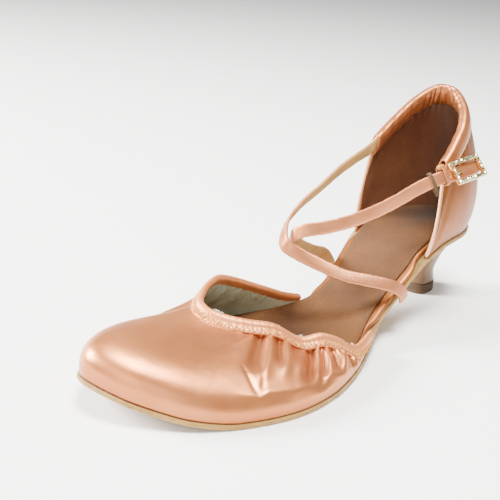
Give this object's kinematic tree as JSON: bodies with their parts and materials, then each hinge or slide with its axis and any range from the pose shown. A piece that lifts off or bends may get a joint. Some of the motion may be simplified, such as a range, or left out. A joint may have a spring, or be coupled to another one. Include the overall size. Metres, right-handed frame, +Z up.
{
  "type": "ballroom dance shoe",
  "caption": "Women's satin ballroom dance shoe, left foot: closed gathered toe, open waist, crossed thin straps with a stone-set buckle, covered heel counter, low flared heel and suede sole.",
  "frame": {"origin": "on the floor under the heel, on the heel tip's face", "axes": "+X towards the toe along the foot, +Y to the wearer's left, which is the outer side, +Z up"},
  "size_m": [0.2207, 0.0774, 0.1012],
  "materials": {
    "satin": "peach satin with a soft sheen, drawn into gathers",
    "strap_satin": "peach satin folded into a narrow strap",
    "binding": "satin rolled over elastic, sewn with a cream zigzag stitch",
    "sock_leather": "worn brown, darker under the heel and the ball of the foot",
    "suede": "raw tan suede with a fuzzy cut edge",
    "heel_cover": "smooth dull brown heel",
    "heel_rubber": "dark matt top piece",
    "elastic": "ribbed tan-gold elastic",
    "buckle_metal": "gold-plated, set with pale cut stones"
  },
  "bodies": {
    "root": {"outsole": "suede", "insole_board": "satin", "sock_lining": "sock_leather", "heel_block": "heel_cover", "heel_tip": "heel_rubber", "upper_vamp": "satin", "throat_binding": "binding", "upper_counter": "satin", "collar_sleeve": "satin", "long_strap": "strap_satin", "buckle_strap": "strap_satin", "buckle_frame": "buckle_metal", "buckle_bar": "buckle_metal", "buckle_prong": "buckle_metal", "keeper_loop": "elastic", "sleeve_loop": "elastic"}
  },
  "joints": []
}
